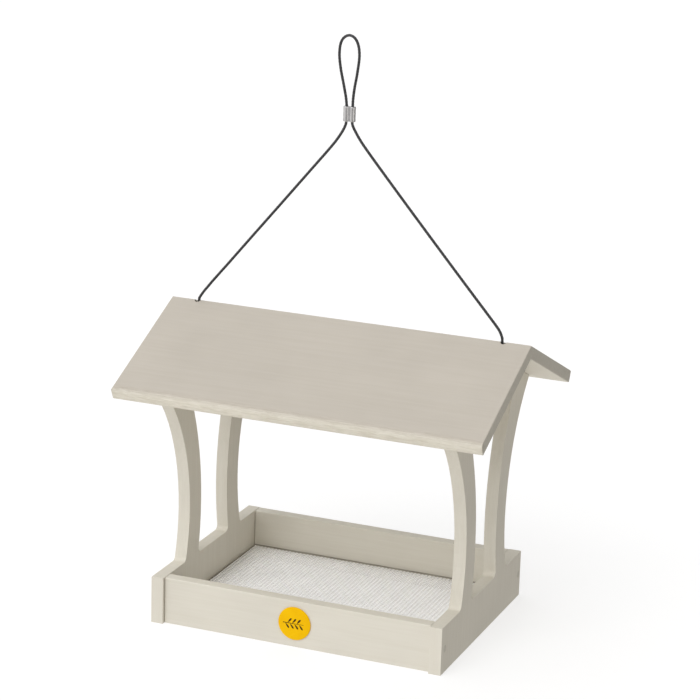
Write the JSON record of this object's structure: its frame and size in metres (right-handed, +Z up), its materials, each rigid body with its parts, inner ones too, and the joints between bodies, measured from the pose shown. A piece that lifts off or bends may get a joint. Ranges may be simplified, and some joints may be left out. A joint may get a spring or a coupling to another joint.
{
  "type": "hanging fly-through bird feeder",
  "caption": "Open wooden feeding tray with a perforated floor, hourglass end panels and a gable roof, hung by a looped steel cable.",
  "frame": {"origin": "under the middle of the tray, on the plane that the feeder stands on", "axes": "+Z up, X along the roof ridge with +X to the viewer's right, -Y towards the front board that carries the badge"},
  "size_m": [0.38, 0.2684, 0.584],
  "materials": {
    "painted_wood": "matt taupe paint, brushed",
    "mesh_coating": "light grey powder coat",
    "cable_steel": "dark stranded steel",
    "aluminium": "crimped, dull",
    "fastener_steel": "zinc plated",
    "badge_yellow": "satin film"
  },
  "bodies": {
    "feeder": {"end_panel_left": "painted_wood", "end_panel_right": "painted_wood", "tray_board_front": "painted_wood", "tray_board_rear": "painted_wood", "roof_slab_front": "painted_wood", "roof_slab_rear": "painted_wood", "cleat_front": "painted_wood", "cleat_rear": "painted_wood", "cleat_left": "painted_wood", "cleat_right": "painted_wood", "tray_screw_left_front": "fastener_steel", "tray_screw_left_rear": "fastener_steel", "tray_screw_right_front": "fastener_steel", "tray_screw_right_rear": "fastener_steel", "roof_brad_left_front_upper": "fastener_steel", "roof_brad_left_front_lower": "fastener_steel", "roof_brad_left_rear_upper": "fastener_steel", "roof_brad_left_rear_lower": "fastener_steel", "roof_brad_right_front_upper": "fastener_steel", "roof_brad_right_front_lower": "fastener_steel", "roof_brad_right_rear_upper": "fastener_steel", "roof_brad_right_rear_lower": "fastener_steel", "cable_tail_left": "cable_steel", "cable_tail_right": "cable_steel", "stop_ferrule_left": "aluminium", "stop_ferrule_right": "aluminium", "washer_left": "aluminium", "washer_right": "aluminium", "badge": "badge_yellow"},
    "hanger": {"hanger_cable": "cable_steel", "loop_ferrule": "aluminium"},
    "floor": {"mesh_floor": "mesh_coating"}
  },
  "joints": [
    {"name": "hanger_swing", "type": "hinge", "parent": "feeder", "child": "hanger", "pos_m": [0, 0, 0.3037], "axis": [1, 0, 0], "range_deg": [-110, 110]},
    {"name": "floor_lift", "type": "slide", "parent": "feeder", "child": "floor", "axis": [0, 0, 1], "range_m": [0, 0.045]}
  ]
}
